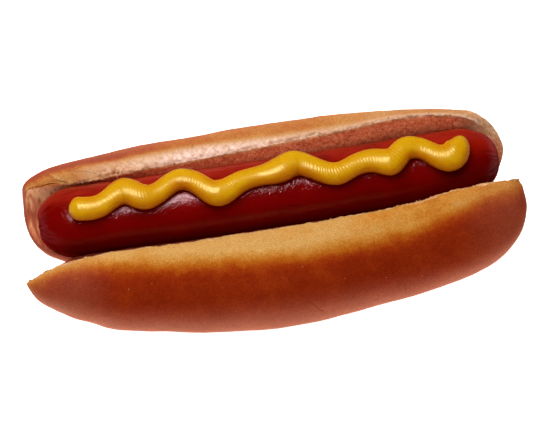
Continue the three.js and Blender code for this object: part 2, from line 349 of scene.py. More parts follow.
def taper(place, share):
    """How thick the bread still is at a place from -1 to 1: a superellipse at each end."""
    left, right = (lerp(*END_POWER[end], ease(share, 0.4, 0.6)) for end in ("left", "right"))
    power = np.where(place < 0, left, right)
    return np.maximum(1 - np.abs(place) ** power, 0) ** (1 / power)


def bun_sheets():
    """The crust and the cut face as two grids [across, along, 3] that meet at both rims and both ends."""
    even = np.linspace(0, 1, BUN_STEPS["across"] + 1)
    share = even - BUN_STEPS["crowding"] * np.sin(TAU * even) / TAU
    place = end_steps(BUN_STEPS["along"], BUN_STEPS["end"])
    share, place = np.meshgrid(share, place, indexing="ij")
    left, right = left_reach(share), right_reach(share)
    x = (left + right) / 2 + (right - left) / 2 * place
    cut = cut_face(x, share)
    outer = crust(x, share)
    full = taper(place, share)
    depth = np.clip(np.hypot(*(outer - cut)) / BULGE_DEPTH, 0, 1)
    bulge = END_BULGE * depth * 4 * full * (1 - full)
    lump = 1 + LUMP * np.sin(0.13 * x + 9 * share) * np.sin(0.07 * x - 4 * share)
    side, height = lerp(cut, outer, full * lump)
    crust_sheet = stacked(x + np.sign(place) * bulge, side, np.maximum(height, 0))
    cut_sheet = stacked(x, cut[0], cut[1])
    return crust_sheet, cut_sheet, share


def along_section(sheet):
    """Distance over the sheet from the thick rim, for each of its points."""
    step = np.linalg.norm(np.diff(sheet, axis=0), axis=-1)
    return np.concatenate([np.zeros((1, sheet.shape[1])), np.cumsum(step, axis=0)])


def ring_faces(across, along):
    """Faces of a closed skin of two sheets. Its numbers run over the crust and back over the cut face,
    whose end points are the crust's own."""
    ring = 2 * across
    number = np.arange(ring * (along + 1)).reshape(ring, along + 1)
    back = (ring - np.arange(ring)) % ring
    for end in (0, along):
        number[across + 1:, end] = number[back[across + 1:], end]
    number = np.vstack([number, number[:1]])
    return stacked(number[:-1, :-1], number[1:, :-1], number[1:, 1:], number[:-1, 1:]).reshape(-1, 4)


RIM_ROUNDING = {"reach": 2.6, "passes": 12}

# Width of the pale band beside each rim along the bun, in millimetres.
thick_pale_band = curve([
    (-75, 2), (-54, 5.2), (-24, 10), (0, 12.2), (33, 10.8), (50, 8.2), (67, 4.6), (75, 3),
])
thin_pale_band = curve([
    (-72, 2.5), (-65, 4), (-56, 5.4), (-42, 5), (-30, 4.9), (-18, 4.8), (-3, 3.6), (12, 2.5), (27, 2.1),
    (45, 2.3), (60, 4), (70, 5),
])
# How well the thin half is baked beyond that band, how floury and pale it is within it (partly a painted
# highlight), and how it shines.
thin_bake = curve([(-50, 0.92), (-30, 0.66), (-18, 0.46), (10, 0.38), (40, 0.2)])
thin_flour_and_highlight = curve([
    (-58, 0), (-46, 0.4), (-36, 0.45), (-28, 0.75), (-10, 0.85), (5, 0.6), (30, 0.55), (50, 0.45),
])
thin_glaze = curve([(-44, 0), (-30, 0.4), (-18, 0.42), (8, 0.6), (25, 0.5), (45, 0.4)])

# Well baked blotches of the thick half: [along, distance from the rim, size, amount].
BLOTCHES = [(-56, 12, 5, 0.22), (-36, 20, 8, 0.12), (24, 22, 9, 0.08), (52, 16, 7, 0.05)]

# Soft swells and hollows of the crust: [along, distance from the rim, size, rise].
THICK_SWELLS = [(-61.5, 21, 5, 0.6), (-55.5, 26, 5, -0.6), (74.5, 4, 4, -0.6)]
THIN_SWELLS = [(74.5, 16, 4, -1.1), (66, 6, 5, 0.5)]

# Flaws of the crust: [along, distance from the rim, half length, half width, share of bare crumb].
THICK_FLAWS = [(-20, 0.6, 1.2, 0.7, 1), (-53, 0.4, 3, 0.6, 0.9), (-62, 0.3, 3.5, 0.7, 1),
               (33, 0.3, 2.5, 0.5, 0.8), (44, 0.4, 5, 0.7, 0.9), (53.5, 5.4, 1.7, 0.5, 0.75),
               (57, 4.6, 1, 0.35, 0.6), (14, 0.3, 3, 0.4, 0.6), (64, 0.4, 4, 0.6, 0.9)]
THIN_FLAWS = [(-46, 1.0, 4.5, 1.6, 1), (-40, 0.5, 3, 0.8, 0.9), (-10, 0.3, 4, 0.4, 0.7),
              (20, 0.3, 5, 0.5, 0.7), (48, 0.4, 6, 0.6, 0.9), (62, 1.5, 4, 2.2, 0.8)]
TORN_CORNER = {"along": -45, "size": 8}

# Layers of relief: [kind of noise, height, size, seed].
DENTS = [(rough, 0.2, 16, 1), (rough, 0.06, 3.2, 5)]
RAGGED_RIM = [(rough, 0.26, 1.3, 11), (noise, 0.2, 4.5, 15)]
TORN_CRUMB = [(rough, 0.25, 2.4, 21), (pits, -0.4, 2.1, 25), (pits, -0.25, 1.1, 27)]
RIM_WIDTH = 1.1
CUT_TORN_SHARE = 0.5
CUT_HIGHEST = 0.1


def soften_rims(skin, rim_gap):
    """Rounds both rims off by moving each row near them towards the mean of its neighbours."""
    pull = 0.5 * ease(rim_gap, RIM_ROUNDING["reach"], 0)[..., None]
    for _ in range(RIM_ROUNDING["passes"]):
        skin = skin + pull * ((np.roll(skin, 1, axis=0) + np.roll(skin, -1, axis=0)) / 2 - skin)
    return skin


def bun_skin():
    """Both sheets as one skin. For each point: its distance over the skin from both rims, and whether it
    is on the crust (0), on a rim (0.5) or on the cut face (1)."""
    crust_sheet, cut_sheet, share = bun_sheets()

    def on_ring(over_crust, over_cut):
        return np.concatenate([over_crust, over_cut[-2:0:-1]])

    over_crust, over_cut = along_section(crust_sheet), along_section(cut_sheet)
    thick_gap = on_ring(over_crust, over_cut)
    thin_gap = on_ring(over_crust[-1] - over_crust, over_cut[-1] - over_cut)
    rim_gap = np.minimum(thick_gap, thin_gap)
    is_cut = on_ring(0 * share, 0 * share + 1)
    is_cut[[0, BUN_STEPS["across"]]] = 0.5
    skin = SimpleNamespace(thick_gap=thick_gap.ravel(), thin_gap=thin_gap.ravel(), rim_gap=rim_gap.ravel(),
                           is_cut=is_cut.ravel())
    skin.points = soften_rims(on_ring(crust_sheet, cut_sheet), rim_gap).reshape(-1, 3)
    skin.x = skin.points[:, 0]
    skin.on_crust = skin.is_cut < 1
    skin.inside = skin.is_cut == 1
    skin.on_thin = on_ring(share, share).ravel() > 0.5
    skin.past_fold = on_ring(share, share).ravel() > 0.6
    return skin


def flaw_share(skin):
    """How much bare crumb the flaws show."""
    flaws = np.zeros(len(skin.x))
    for gap, spots in ((skin.thick_gap, THICK_FLAWS), (skin.thin_gap, THIN_FLAWS)):
        for at, off, half_length, half_width, amount in spots:
            near = np.exp(-(((skin.x - at) / half_length) ** 2) - ((gap - off) / half_width) ** 2)
            flaws = np.maximum(flaws, amount * near * skin.on_crust)
    return flaws


def find_regions(skin):
    """Adds, from 0 to 1, where the skin is flawed, torn at the left end, worn at the right tip, bare, and
    on a rim or the cut's wall."""
    x, thin_gap = skin.x, skin.thin_gap
    skin.flaws = flaw_share(skin)
    skin.left_end = ease(x, -53, -59) * skin.on_thin * (skin.is_cut > 0)
    skin.right_tip = ease(x, 58, 68) * ease(thin_gap, 26, 12) * skin.on_thin
    worn_end = ease(x, 58, 70) * ease(thin_gap, 26, 10) * skin.on_crust
    bare = np.maximum(skin.is_cut * (1 - skin.left_end), np.maximum(skin.flaws, 0.6 * worn_end))
    skin.crumb = np.maximum(np.clip(bare, 0, 1), 0.9 * skin.right_tip)
    skin.rim = bell(skin.rim_gap, RIM_WIDTH)
    skin.wall = ease(skin.rim_gap, 0.2, 1.6) * skin.inside * (1 - 0.85 * skin.right_tip)


def relief(skin):
    """The rise of the skin: dents on the crust, ragged rims, and the pits and lumps of torn crumb."""
    dents = layered(skin.points, DENTS)
    dents = with_bumps(dents, skin.x, skin.thick_gap, THICK_SWELLS)
    dents = with_bumps(dents, skin.x, skin.thin_gap, THIN_SWELLS)
    ragged = layered(skin.points, RAGGED_RIM)
    torn = layered(skin.points, TORN_CRUMB) * np.where(skin.inside, CUT_TORN_SHARE, 1)
    height = dents * (1 - skin.is_cut) + ragged * skin.rim + torn * skin.crumb * (1 - 0.4 * skin.rim)
    return np.minimum(height, np.where(skin.inside, CUT_HIGHEST + skin.rim, np.inf))


def baking(skin, thin_pale):
    """How well the crust is baked: little in the pale bands, but in streaks at the thin half's left end,
    and more over the blotches."""
    x, thin_gap = skin.x, skin.thin_gap
    thick_pale = thick_pale_band(x)
    thick = ease(skin.thick_gap, thick_pale - 5, thick_pale + 6)
    least_at_right = 0.28 * ease(x, 10, 45)
    thick = with_bumps(np.maximum(thick, least_at_right), x, skin.thick_gap, BLOTCHES)
    streaks = noise(stacked(x + 0.8 * thin_gap, thin_gap / 6, 0), 1.3, 33)
    in_band = (0.2 + 0.28 * streaks) * ease(x, -42, -54)
    past_band = thin_bake(x) + 0.4 * ease(thin_gap, 8, 20)
    thin = lerp(in_band, past_band, ease(thin_gap, thin_pale - 1.7, thin_pale + 1.7))
    return 0.86 * np.where(skin.on_thin, thin, thick)


def undersides_and_sheen(skin, normals):
    """Where the crust turns down and gets paler: partly its own paler underside, partly painted sheen."""
    tips = ease(skin.x, -48, -62) + ease(skin.x, 50, 70)
    thick = 0.75 * ease(normals[:, 2], 0.75, -0.5) ** 1.6 + 0.12 * tips
    # On the thin half, painted sheen also lies in a band round its outer side.
    thin = 0.2 + 0.15 * ease(skin.x, 20, 40) + 0.25 * bell(skin.thin_gap - 11, 3)
    return np.where(skin.on_thin, np.maximum(thin, 0.9 * thick), np.minimum(thick, 1)) * skin.on_crust


def bread_looks(skin, normals):
    """What the bread material reads. The lay is the place along the bun and the distance from the rim,
    negative on the thin half."""
    x, thin_gap = skin.x, skin.thin_gap
    thin_pale = thin_pale_band(x)
    glaze = thin_glaze(x) * ease(thin_gap, 0.2, 1.4) * ease(thin_gap, 8.5, 3.5)
    # Painted shade in the cut: over nearly all the thick half's hidden wall, and on the thin half's wall
    # deeper towards the frankfurter.
    thick_groove_shade = 0.95 * ease(skin.thick_gap, 0, 0.8) * ~skin.on_thin
    thin_groove_shade = lerp(0.1, 0.7, ease(x, -48, -28)) * ease(thin_gap, 2.5, 7) * skin.on_thin
    # Pale floury strip beside the thin rim, partly a painted highlight.
    floury_and_highlight = thin_flour_and_highlight(x) * ease(thin_gap, thin_pale + 0.8, thin_pale - 3)
    # Painted shade for the pits of the torn corner.
    in_corner = skin.flaws * bell(x - TORN_CORNER["along"], TORN_CORNER["size"]) * skin.on_thin
    return {
        "crumb": skin.crumb,
        "bake": baking(skin, thin_pale),
        "wall": skin.wall,
        "glaze": glaze * (1 - skin.crumb) * skin.on_crust * skin.on_thin,
        "under_and_sheen": undersides_and_sheen(skin, normals),
        "groove_shade": (thick_groove_shade + thin_groove_shade) * skin.inside * (1 - skin.right_tip),
        # At the right tip the next two lines lift the shaded crumb as painted light; in the torn corner the
        # second darkens pits as painted shade.
        "floury_and_highlight": np.maximum(floury_and_highlight * skin.past_fold * skin.on_crust, 0.1 * skin.right_tip),
        "tip_light_and_pit_shade": 0.2 * skin.right_tip - 0.34 * in_corner,
        "left_end": skin.left_end,
        "lay": stacked(x, np.where(skin.on_thin, -thin_gap, skin.thick_gap), 0),
    }


def make_bun(material):
    """One skin, raised along its normals by its relief, and flat where it stands."""
    skin = bun_skin()
    faces = ring_faces(BUN_STEPS["across"], BUN_STEPS["along"])
    normals = vertex_normals(skin.points, faces)
    find_regions(skin)
    looks = bread_looks(skin, normals)
    skin.points = skin.points + normals * relief(skin)[:, None]
    skin.points[:, 2] = np.maximum(skin.points[:, 2], 0)
    skin.normals = vertex_normals(skin.points, faces)
    bun = make_piece("bread", skin.points, faces.tolist(), material, looks)
    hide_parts("bun")
    return skin


# ---- Frankfurter ----
PLEATS = {"left": 23, "right": 25, "shift": 0.3, "depth": (0.3, 0.8), "reach": (3, 7.5)}


def make_frankfurter(material):
    """A round bar on a bowed axis, a little uneven, its ends drawn into pleats that run to a small knot."""
    place = end_steps(FRANK_STEPS["along"], FRANK_STEPS["end"])
    around = np.linspace(0, TAU, FRANK_STEPS["around"], endpoint=False) - np.pi / 2
    half = FRANK_LENGTH / 2
    into_end = np.maximum(np.abs(place) * half - (half - FRANK_END), 0) / FRANK_END
    width = FRANK_RADIUS * np.maximum(1 - into_end**FRANK_END_POWER, 0) ** (1 / FRANK_END_POWER)

    x, turn = np.meshgrid(place * half, around, indexing="ij")
    radius = width[:, None] + 0 * turn
    to_tip = half - np.abs(x)
    draw = np.random.default_rng(41)
    pleat = 0 * x
    for side, count in ((-1, PLEATS["left"]), (1, PLEATS["right"])):
        shift = draw.uniform(-PLEATS["shift"], PLEATS["shift"], count)
        angles = (np.arange(count) + shift) / count * TAU
        depths = draw.uniform(*PLEATS["depth"], count)
        reaches = draw.uniform(*PLEATS["reach"], count)
        for angle, depth, reach in zip(angles, depths, reaches):
            gap = np.angle(np.exp(1j * (turn - angle))) * radius
            near = bell(gap, 0.2 + 0.2 * radius / FRANK_RADIUS)
            fade = ease(to_tip, 0.15, 0.9) * (1 - ease(to_tip, 0.35 * reach, reach))
            pleat = pleat + depth * near * fade * (np.sign(x) == side)
    base = stacked(x, radius * np.sin(turn), radius * np.cos(turn))
    sag = 0.16 * rough(base, 14, 43)
    wrinkles = 0.035 * noise(base * [0.25, 1, 1], 1.7, 47)
    radius = radius + (sag + wrinkles - pleat) * ease(radius, 0, 4)
    drawn_in = 1.15 * bell(radius, 2.3)
    knot = 0.75 * bell(radius, 0.9)
    x = x - np.sign(x) * (drawn_in - knot)
    side = axis_side(x + FRANK_SHIFT) + radius * np.sin(turn)
    body = stacked(x + FRANK_SHIFT, side, FRANK_HEIGHT + radius * np.cos(turn))

    points, faces = close_tube(body)
    run = stacked(x, FRANK_RADIUS * turn, 0)
    looks = {"run": tube_values(run, run[[0, -1], 0])}
    frankfurter = make_piece("frankfurter", points, faces, material, looks)
    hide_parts("sausage")


# ---- Mustard ----
def bead_path(count):
    """Centres, tangents and distances of steps along the squiggle's B-spline, and its length."""
    guide = np.array(SQUIGGLE)
    guide = np.vstack([guide[:1], guide[:1], guide, guide[-1:], guide[-1:]])
    t = np.linspace(0, 1, 100, endpoint=False)[:, None]
    pieces = []
    for a, b, c, d in zip(guide, guide[1:], guide[2:], guide[3:]):
        ends = (1 - t) ** 3 * a + t**3 * d
        middle = (4 - 6 * t**2 + 3 * t**3) * b + (1 + 3 * t + 3 * t**2 - 3 * t**3) * c
        pieces.append((ends + middle) / 6)
    line = np.vstack(pieces + [guide[-1:]])
    travelled = np.concatenate([[0], np.cumsum(np.linalg.norm(np.diff(line, axis=0), axis=1))])
    distance = (end_steps(count, BEAD_STEPS["end"]) + 1) / 2 * travelled[-1]

    def place(where):
        return stacked(*(np.interp(where, travelled, line[:, k]) for k in range(2)))

    chord = place(distance + TURN_SOFTENING) - place(distance - TURN_SOFTENING)
    return place(distance), chord / np.linalg.norm(chord, axis=1, keepdims=True), distance, travelled[-1]


RIPPLES = {"height": 0.042, "spacing": 0.9, "slant": 0.35, "wander": 2.2}
BEAD_SINK = 0.55


def make_mustard(material):
    """A bead along the squiggle, wrapped round the frankfurter: a half ellipse above its waist, squarer
    below it, and finely rippled."""
    centre, tangent, distance, length = bead_path(BEAD_STEPS["along"])
    to_end = length - distance

    def rounded(gap, run):
        return np.sqrt(np.maximum(1 - (1 - np.minimum(gap / run, 1)) ** 2, 0))

    tail = lerp(TAIL["width"], 1, ease(to_end, 0, TAIL["length"]))
    size = bead_fullness(centre[:, 0]) * (1 - SLANT_THINNING * np.abs(tangent[:, 1]))
    size = size * tail * rounded(distance, BEAD_WIDTH / 2) * rounded(to_end, BEAD_WIDTH * TAIL["width"])
    size = size[:, None]

    turn = np.linspace(0, TAU, BEAD_STEPS["around"], endpoint=False) - np.pi / 2
    across, up = np.cos(turn), np.sin(turn)
    squared, sunk = (np.sign(part) * np.abs(part) ** (2 / BEAD_BASE_POWER) for part in (across, up))
    offset = (BEAD_WIDTH / 2 * np.where(up >= 0, across, squared))[None, :]
    height = np.where(up >= 0, BEAD_WAIST + (BEAD_HEIGHT - BEAD_WAIST) * up, BEAD_WAIST * (1 + sunk))

    run = stacked(distance[:, None], offset, 0)
    slanted = run[..., 0] + run[..., 1] * RIPPLES["slant"]
    wander = RIPPLES["wander"] * noise(run, 3.1, 61)
    ripple = RIPPLES["height"] * np.sin(TAU * slanted / RIPPLES["spacing"] + wander)
    uneven = 0.03 * noise(run, 3.4, 65)
    ripple = ripple * (0.5 + 0.5 * noise(run, 5.3, 63)) + uneven
    crest = np.clip(up, 0, 1)[None, :]
    height = height[None, :] * size + ripple * (crest * ease(size, 0.2, 0.8))
    x = centre[:, 0:1] - tangent[:, 1:2] * offset * size
    angle = (centre[:, 1:2] + tangent[:, 0:1] * offset * size) / SEAT_RADIUS
    sink = BEAD_SINK * ease(1 - up, 1, 1.6)[None, :] * ease(size, 0, 0.5)
    radius = SEAT_RADIUS - sink + height
    side = axis_side(x) + radius * np.sin(angle)
    body = stacked(x, side, FRANK_HEIGHT + radius * np.cos(angle))

    points, faces = close_tube(body, flip=True)
    # Painted rim light along the far flank.
    far_flank_rim_light = ease(across, 0.55, 1)[None, :]
    looks = {
        "run": tube_values(run, run[[0, -1], 0]),
        "crest": tube_values(crest + 0 * size, [0, 0]),
        "far_flank_rim_light": tube_values(far_flank_rim_light + 0 * size, [0, 0]),
    }
    mustard = make_piece("mustard_bead", points, faces, material, looks)
    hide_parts("mustard")


# ---- Loose crumbs ----
def crumb_shape():
    """The twelve corners and twenty faces of an icosahedron of radius 1."""
    g = (1 + math.sqrt(5)) / 2
    corners = np.array([np.roll((a, b, 0), k) for k in range(3) for b in (g, -g) for a in (-1, 1)])
    faces = np.array([(0, 11, 5), (0, 5, 1), (0, 1, 7), (0, 7, 10), (0, 10, 11),
                      (1, 5, 9), (5, 11, 4), (11, 10, 2), (10, 7, 6), (7, 1, 8),
                      (3, 9, 4), (3, 4, 2), (3, 2, 6), (3, 6, 8), (3, 8, 9),
                      (4, 9, 5), (2, 4, 11), (6, 2, 10), (8, 6, 7), (9, 8, 1)])
    return corners / np.linalg.norm(corners[0]), faces


# How thickly crumbs lie along each rim: [along, share].
thick_crumbs = curve([
    (-75, 0.5), (-62, 1), (-50, 0.3), (-20, 0.15), (10, 0.2), (28, 0.8), (50, 1), (60, 0.4), (73, 0.8),
])
thin_crumbs = curve([
    (-72, 0.1), (-50, 0.9), (-38, 0.6), (-25, 0.1), (20, 0.15), (40, 0.4), (60, 1), (71, 1),
])
CRUMBS = {"count": 420, "least": 0.07, "spread": 0.24, "thick_strip": 0.5, "thin_strip": 0.9,
          "thin_share": 0.7}


def make_crumbs(material, skin):
    """Crumbs along both rims: small lumps with their corners moved at random, sunk a third into the bread."""
    draw = np.random.default_rng(71)
    count = CRUMBS["count"]
    on_thick = thick_crumbs(skin.x) * bell(skin.thick_gap, CRUMBS["thick_strip"])
    on_thin = thin_crumbs(skin.x) * bell(skin.thin_gap, CRUMBS["thin_strip"])
    chance = np.clip(on_thick, 0, None) + CRUMBS["thin_share"] * np.clip(on_thin, 0, None)
    seats = draw.choice(len(skin.x), count, replace=False, p=chance / chance.sum())
    corners, faces = crumb_shape()
    size = CRUMBS["least"] + CRUMBS["spread"] * draw.random(count) ** 3
    shape = corners[None] * draw.uniform(0.65, 1.25, (count, len(corners), 1))
    shape = shape * draw.uniform(0.7, 1.3, (count, 1, 3)) * size[:, None, None]
    middle = skin.points[seats] + skin.normals[seats] * (0.3 * size)[:, None]
    placed = (shape + middle[:, None, :]).reshape(-1, 3)
    numbers = (faces[None] + (np.arange(count) * len(corners))[:, None, None]).reshape(-1, 3)
    tone = np.repeat(draw.random(count), len(corners))
    make_piece("loose_crumbs", placed, numbers.tolist(), material, {"tone": tone})


# ---- Materials ----
class Graph:
    """Adds nodes to a tree. An input given as a socket is linked, and any other value is set."""

    def __init__(self, tree):
        self.tree = tree

    def feed(self, socket, value):
        if isinstance(value, bpy.types.NodeSocket):
            self.tree.links.new(value, socket)
        else:
            socket.default_value = value

    def add(self, kind, inputs, **settings):
        node = self.tree.nodes.new("ShaderNode" + kind)
        for key, value in settings.items():
            setattr(node, key, value)
        for key, value in inputs.items():
            self.feed(node.inputs[key], value)
        return node

    def math(self, operation, a, b, clamp=False):
        return self.add("Math", {0: a, 1: b}, operation=operation, use_clamp=clamp).outputs[0]

    def times(self, a, b):
        return self.math("MULTIPLY", a, b)

    def total(self, *weighted):
        """The sum of (value, weight) pairs."""
        total = 0
        for value, weight in weighted:
            total = self.math("ADD", total, self.times(value, weight))
        return total

    def vector(self, operation, a, b=(0, 0, 0), output="Vector"):
        return self.add("VectorMath", {0: a, 1: b}, operation=operation).outputs[output]

    def scaled(self, a, scale):
        return self.add("VectorMath", {0: a, "Scale": scale}, operation="SCALE").outputs[0]

    def span(self, value, low, high, to_low=0, to_high=1):
        """Takes low..high smoothly to to_low..to_high."""
        inputs = {"Value": value, "From Min": low, "From Max": high, "To Min": to_low, "To Max": to_high}
        return self.add("MapRange", inputs, interpolation_type="SMOOTHSTEP").outputs["Result"]

    def mix(self, share, a, b, blend="MIX"):
        settings = {"data_type": "RGBA", "blend_type": blend, "clamp_factor": True}
        return self.add("Mix", {0: share, 6: a, 7: b}, **settings).outputs[2]

    def tint(self, mask, strength, color, tone):
        """The colour turned towards a tone by the mask times a strength."""
        return self.mix(self.times(mask, strength), color, srgb(tone))

    def ramp(self, value, stops):
        node = self.add("ValToRGB", {"Fac": value})
        elements = node.color_ramp.elements
        while len(elements) < len(stops):
            elements.new(0.5)
        for element, (position, color) in zip(elements, stops):
            element.position = position
            element.color = srgb(color)
        return node.outputs["Color"]

    def read(self, name, output="Fac"):
        return self.add("Attribute", {}, attribute_name=name).outputs[output]

    def noise(self, place, scale, detail):
        return self.add("TexNoise", {"Vector": place, "Scale": scale, "Detail": detail}).outputs

    def group(self, tree, **inputs):
        return self.add("Group", inputs, node_tree=tree).outputs

    def grain(self, size, detail):
        return self.group(GRAIN, Size=size, Detail=detail)["Height"]


def srgb(color):
    """The linear colour, as a socket holds it, of a colour from 0 to 255 on screen."""
    def linear(value):
        share = value / 255
        return share / 12.92 if share <= 0.04045 else ((share + 0.055) / 1.055) ** 2.4
    return (*map(linear, color), 1)


def new_group(name, inputs, outputs):
    """An empty shader group with those inputs and outputs."""
    tree = bpy.data.node_groups.new(name, "ShaderNodeTree")
    for key, default in inputs.items():
        kind = "NodeSocketFloat" if isinstance(default, (int, float)) else "NodeSocketVector"
        socket = tree.interface.new_socket(key, in_out="INPUT", socket_type=kind)
        socket.default_value = default
    for key in outputs:
        tree.interface.new_socket(key, in_out="OUTPUT", socket_type="NodeSocketFloat")
    return Graph(tree), tree.nodes.new("NodeGroupInput").outputs, tree.nodes.new("NodeGroupOutput").inputs


def object_cells(graph, size):
    """A piece's own coordinates, and the scale that gives a texture's cells a size in millimetres."""
    place = graph.add("TexCoord", {}).outputs["Object"]
    return place, graph.math("DIVIDE", 1 / MM, size)


def grain_group():
    """Soft cloudy grain of a given size in millimetres."""
    graph, given, out = new_group("grain", {"Size": 1, "Detail": 2}, ["Height"])
    graph.feed(out["Height"], graph.noise(*object_cells(graph, given["Size"]), given["Detail"])[0])
    return graph.tree


def specks_group():
    """Round specks, one in a share of the cells of a given size in millimetres."""
    graph, given, out = new_group("specks", {"Size": 2, "Share": 0.3, "Radius": 0.25}, ["Mask"])
    place, scale = object_cells(graph, given["Size"])
    cells = graph.add("TexVoronoi", {"Vector": place, "Scale": scale}).outputs
    chosen = graph.add("SeparateColor", {"Color": cells["Color"]}).outputs["Red"]
    has_one = graph.math("LESS_THAN", chosen, given["Share"])
    solid = graph.times(given["Radius"], 0.5)
    inside = graph.span(cells["Distance"], given["Radius"], solid)
    graph.feed(out["Mask"], graph.times(has_one, inside))
    return graph.tree


def streaks_group():
    """Streaks of a given length and width on a surface's run (millimetres along, millimetres round)."""
    graph, given, out = new_group("streaks", {"Length": 20, "Width": 0.5, "Detail": 2}, ["Height"])
    stretch = graph.add("CombineXYZ", {
        "X": graph.math("DIVIDE", 1, given["Length"]),
        "Y": graph.math("DIVIDE", 1, given["Width"]),
    }).outputs[0]
    place = graph.vector("MULTIPLY", graph.read("run", "Vector"), stretch)
    graph.feed(out["Height"], graph.noise(place, 1, given["Detail"])[0])
    return graph.tree


def hairline_group():
    """A wandering hairline between two points of the bread's lay, with a core nearly half as wide."""
    inputs = {"Start": (0, 0, 0), "End": (0, 1, 0), "Width": 0.3, "Wander": 0.8}
    graph, given, out = new_group("hairline", inputs, ["Edge", "Core"])
    place = graph.read("lay", "Vector")
    cloud = graph.noise(place, 0.5, 3)["Color"]
    shake = graph.scaled(graph.vector("SUBTRACT", cloud, (0.5, 0.5, 0.5)), given["Wander"])
    moved = graph.vector("MULTIPLY", graph.vector("ADD", place, shake), (1, 1, 0))
    line = graph.vector("SUBTRACT", given["End"], given["Start"])
    from_start = graph.vector("SUBTRACT", moved, given["Start"])
    along = graph.vector("DOT_PRODUCT", from_start, line, "Value")
    whole = graph.vector("DOT_PRODUCT", line, line, "Value")
    share = graph.math("DIVIDE", along, whole, clamp=True)
    off_line = graph.vector("SUBTRACT", from_start, graph.scaled(line, share))
    gap = graph.vector("LENGTH", off_line, output="Value")
    ends = graph.times(graph.span(share, 0, 0.25), graph.span(share, 1, 0.75))
    width = graph.times(given["Width"], ends)
    graph.feed(out["Edge"], graph.span(gap, width, 0))
    graph.feed(out["Core"], graph.span(gap, graph.times(width, 0.45), 0))
    return graph.tree


GRAIN, SPECKS, STREAKS, HAIRLINE = grain_group(), specks_group(), streaks_group(), hairline_group()


def new_material(name, **constants):
    """A material with one Principled shader that has those constants."""
    material = bpy.data.materials.new(name)
    material.use_nodes = True
    shader = material.node_tree.nodes["Principled BSDF"]
    for key, value in constants.items():
        shader.inputs[key.replace("_", " ").title().replace("Ior", "IOR")].default_value = value
    return material, Graph(material.node_tree), shader


def connect(graph, shader, height, bump_strength, **looks):
    """Links a bump from a height in millimetres, and each look to the shader's socket of that name."""
    inputs = {"Height": height, "Distance": MM, "Strength": bump_strength}
    looks["normal"] = graph.add("Bump", inputs).outputs["Normal"]
    for key, value in looks.items():
        graph.feed(shader.inputs[key.replace("_", " ").title()], value)


# Colours on screen from 0 to 255. A ramp's stops are [place, colour].
CRUST = [(0, (218, 167, 96)), (0.21, (209, 143, 60)), (0.43, (190, 104, 26)), (0.67, (166, 64, 16)),
         (0.84, (150, 46, 13)), (1, (138, 38, 10))]
MOTTLE = [(0.3, (218, 210, 200)), (0.7, (255, 255, 255))]
CRUMB = [(0.3, (188, 118, 74)), (0.5, (214, 156, 104)), (0.7, (232, 188, 142))]
# The cut's wall: redder than bare crumb, partly painted red light bounced from the frankfurter.
CUT_WALL_WITH_BOUNCE = [(0.32, (180, 76, 44)), (0.5, (228, 120, 78)), (0.66, (248, 168, 126))]
# Tones of the thin half's hollow left end, kept light as painted light on its shaded cut.
LEFT_END_WITH_LIGHT = [(0.35, (190, 98, 70)), (0.5, (222, 138, 96)), (0.65, (250, 186, 136))]
# Flour tones, partly a painted highlight; the darkest stop gives painted shade in pits.
FLOUR_AND_HIGHLIGHT = [(0.16, (110, 42, 32)), (0.26, (206, 152, 126)), (0.6, (246, 214, 198)), (0.85, (255, 240, 234))]
CASING = [(0.3, (123, 2, 2)), (0.5, (112, 3, 1)), (0.7, (149, 22, 6))]
# Mustard from its lower flanks to its crest: the darker orange below is painted shade.
MUSTARD = [(0.15, (178, 85, 0)), (0.7, (190, 116, 0)), (1, (208, 152, 2))]
LOOSE_CRUMB = [(0.2, (160, 96, 48)), (0.8, (206, 150, 92)), (1, (232, 190, 140))]
# Paler, pinker underside of the crust, partly painted sheen and floor bounce.
UNDERSIDE_AND_SHEEN = (216, 144, 117)
# Painted shade in the hairlines' depths, and the cracks' pale torn edge.
HAIRLINE_SHADE, CRACK_EDGE = (104, 18, 6), (204, 96, 60)
# Painted shade deep in the cut beside the frankfurter.
GROOVE_SHADE = (96, 28, 14)
# Painted rim light on the mustard's far flank.
MUSTARD_RIM_LIGHT = (226, 152, 6)

# Specks of the crust: [cell size, share of cells, radius, strength, colour].
CRUST_SPECKS = [(1.3, 0.3, 0.35, 0.06, (96, 36, 14)), (4, 0.5, 0.06, 0.35, (228, 170, 120))]

# Hairlines of the crust: [from, to, width, depth of tone], in places on its lay; the tone is painted shade in
# their depths. Cracks also have a pale torn edge.
CRACKS = [((4.4, 25.5), (10.8, 35), 0.45, 1), ((34.8, 24.5), (35.2, 31.5), 0.35, 0.8)]
CREASES = [((-0.5, 18), (3, 23), 0.5, 0.3), ((17, 13), (20, 20), 0.5, 0.25),
           ((-28.5, 15), (-27.5, 19), 0.5, 0.3), ((-73, -0.9), (-61.5, -0.9), 0.8, 1),
           ((-63, -2.4), (-58.5, -0.4), 0.6, 0.8), ((-21, -2.5), (-20, -6), 0.5, 0.5),
           ((-56, -4), (-49, -1.5), 0.8, 0.4), ((-60, -5), (-52, -2.6), 0.8, 0.3)]
HAIRLINE_WANDER = 1.2
MEAN_GRAIN = 0.56


def hairlines(graph):
    """How deep the hairlines are, and how much of their torn edges shows."""
    cores, edges = 0, 0
    for torn, lines in ((1, CRACKS), (0, CREASES)):
        for start, end, width, depth in lines:
            inputs = {"Start": (*start, 0), "End": (*end, 0), "Width": width, "Wander": HAIRLINE_WANDER}
            hairline = graph.group(HAIRLINE, **inputs)
            cores = graph.math("MAXIMUM", cores, graph.times(hairline["Core"], depth))
            edges = graph.math("MAXIMUM", edges, graph.times(hairline["Edge"], depth * torn))
    return cores, edges


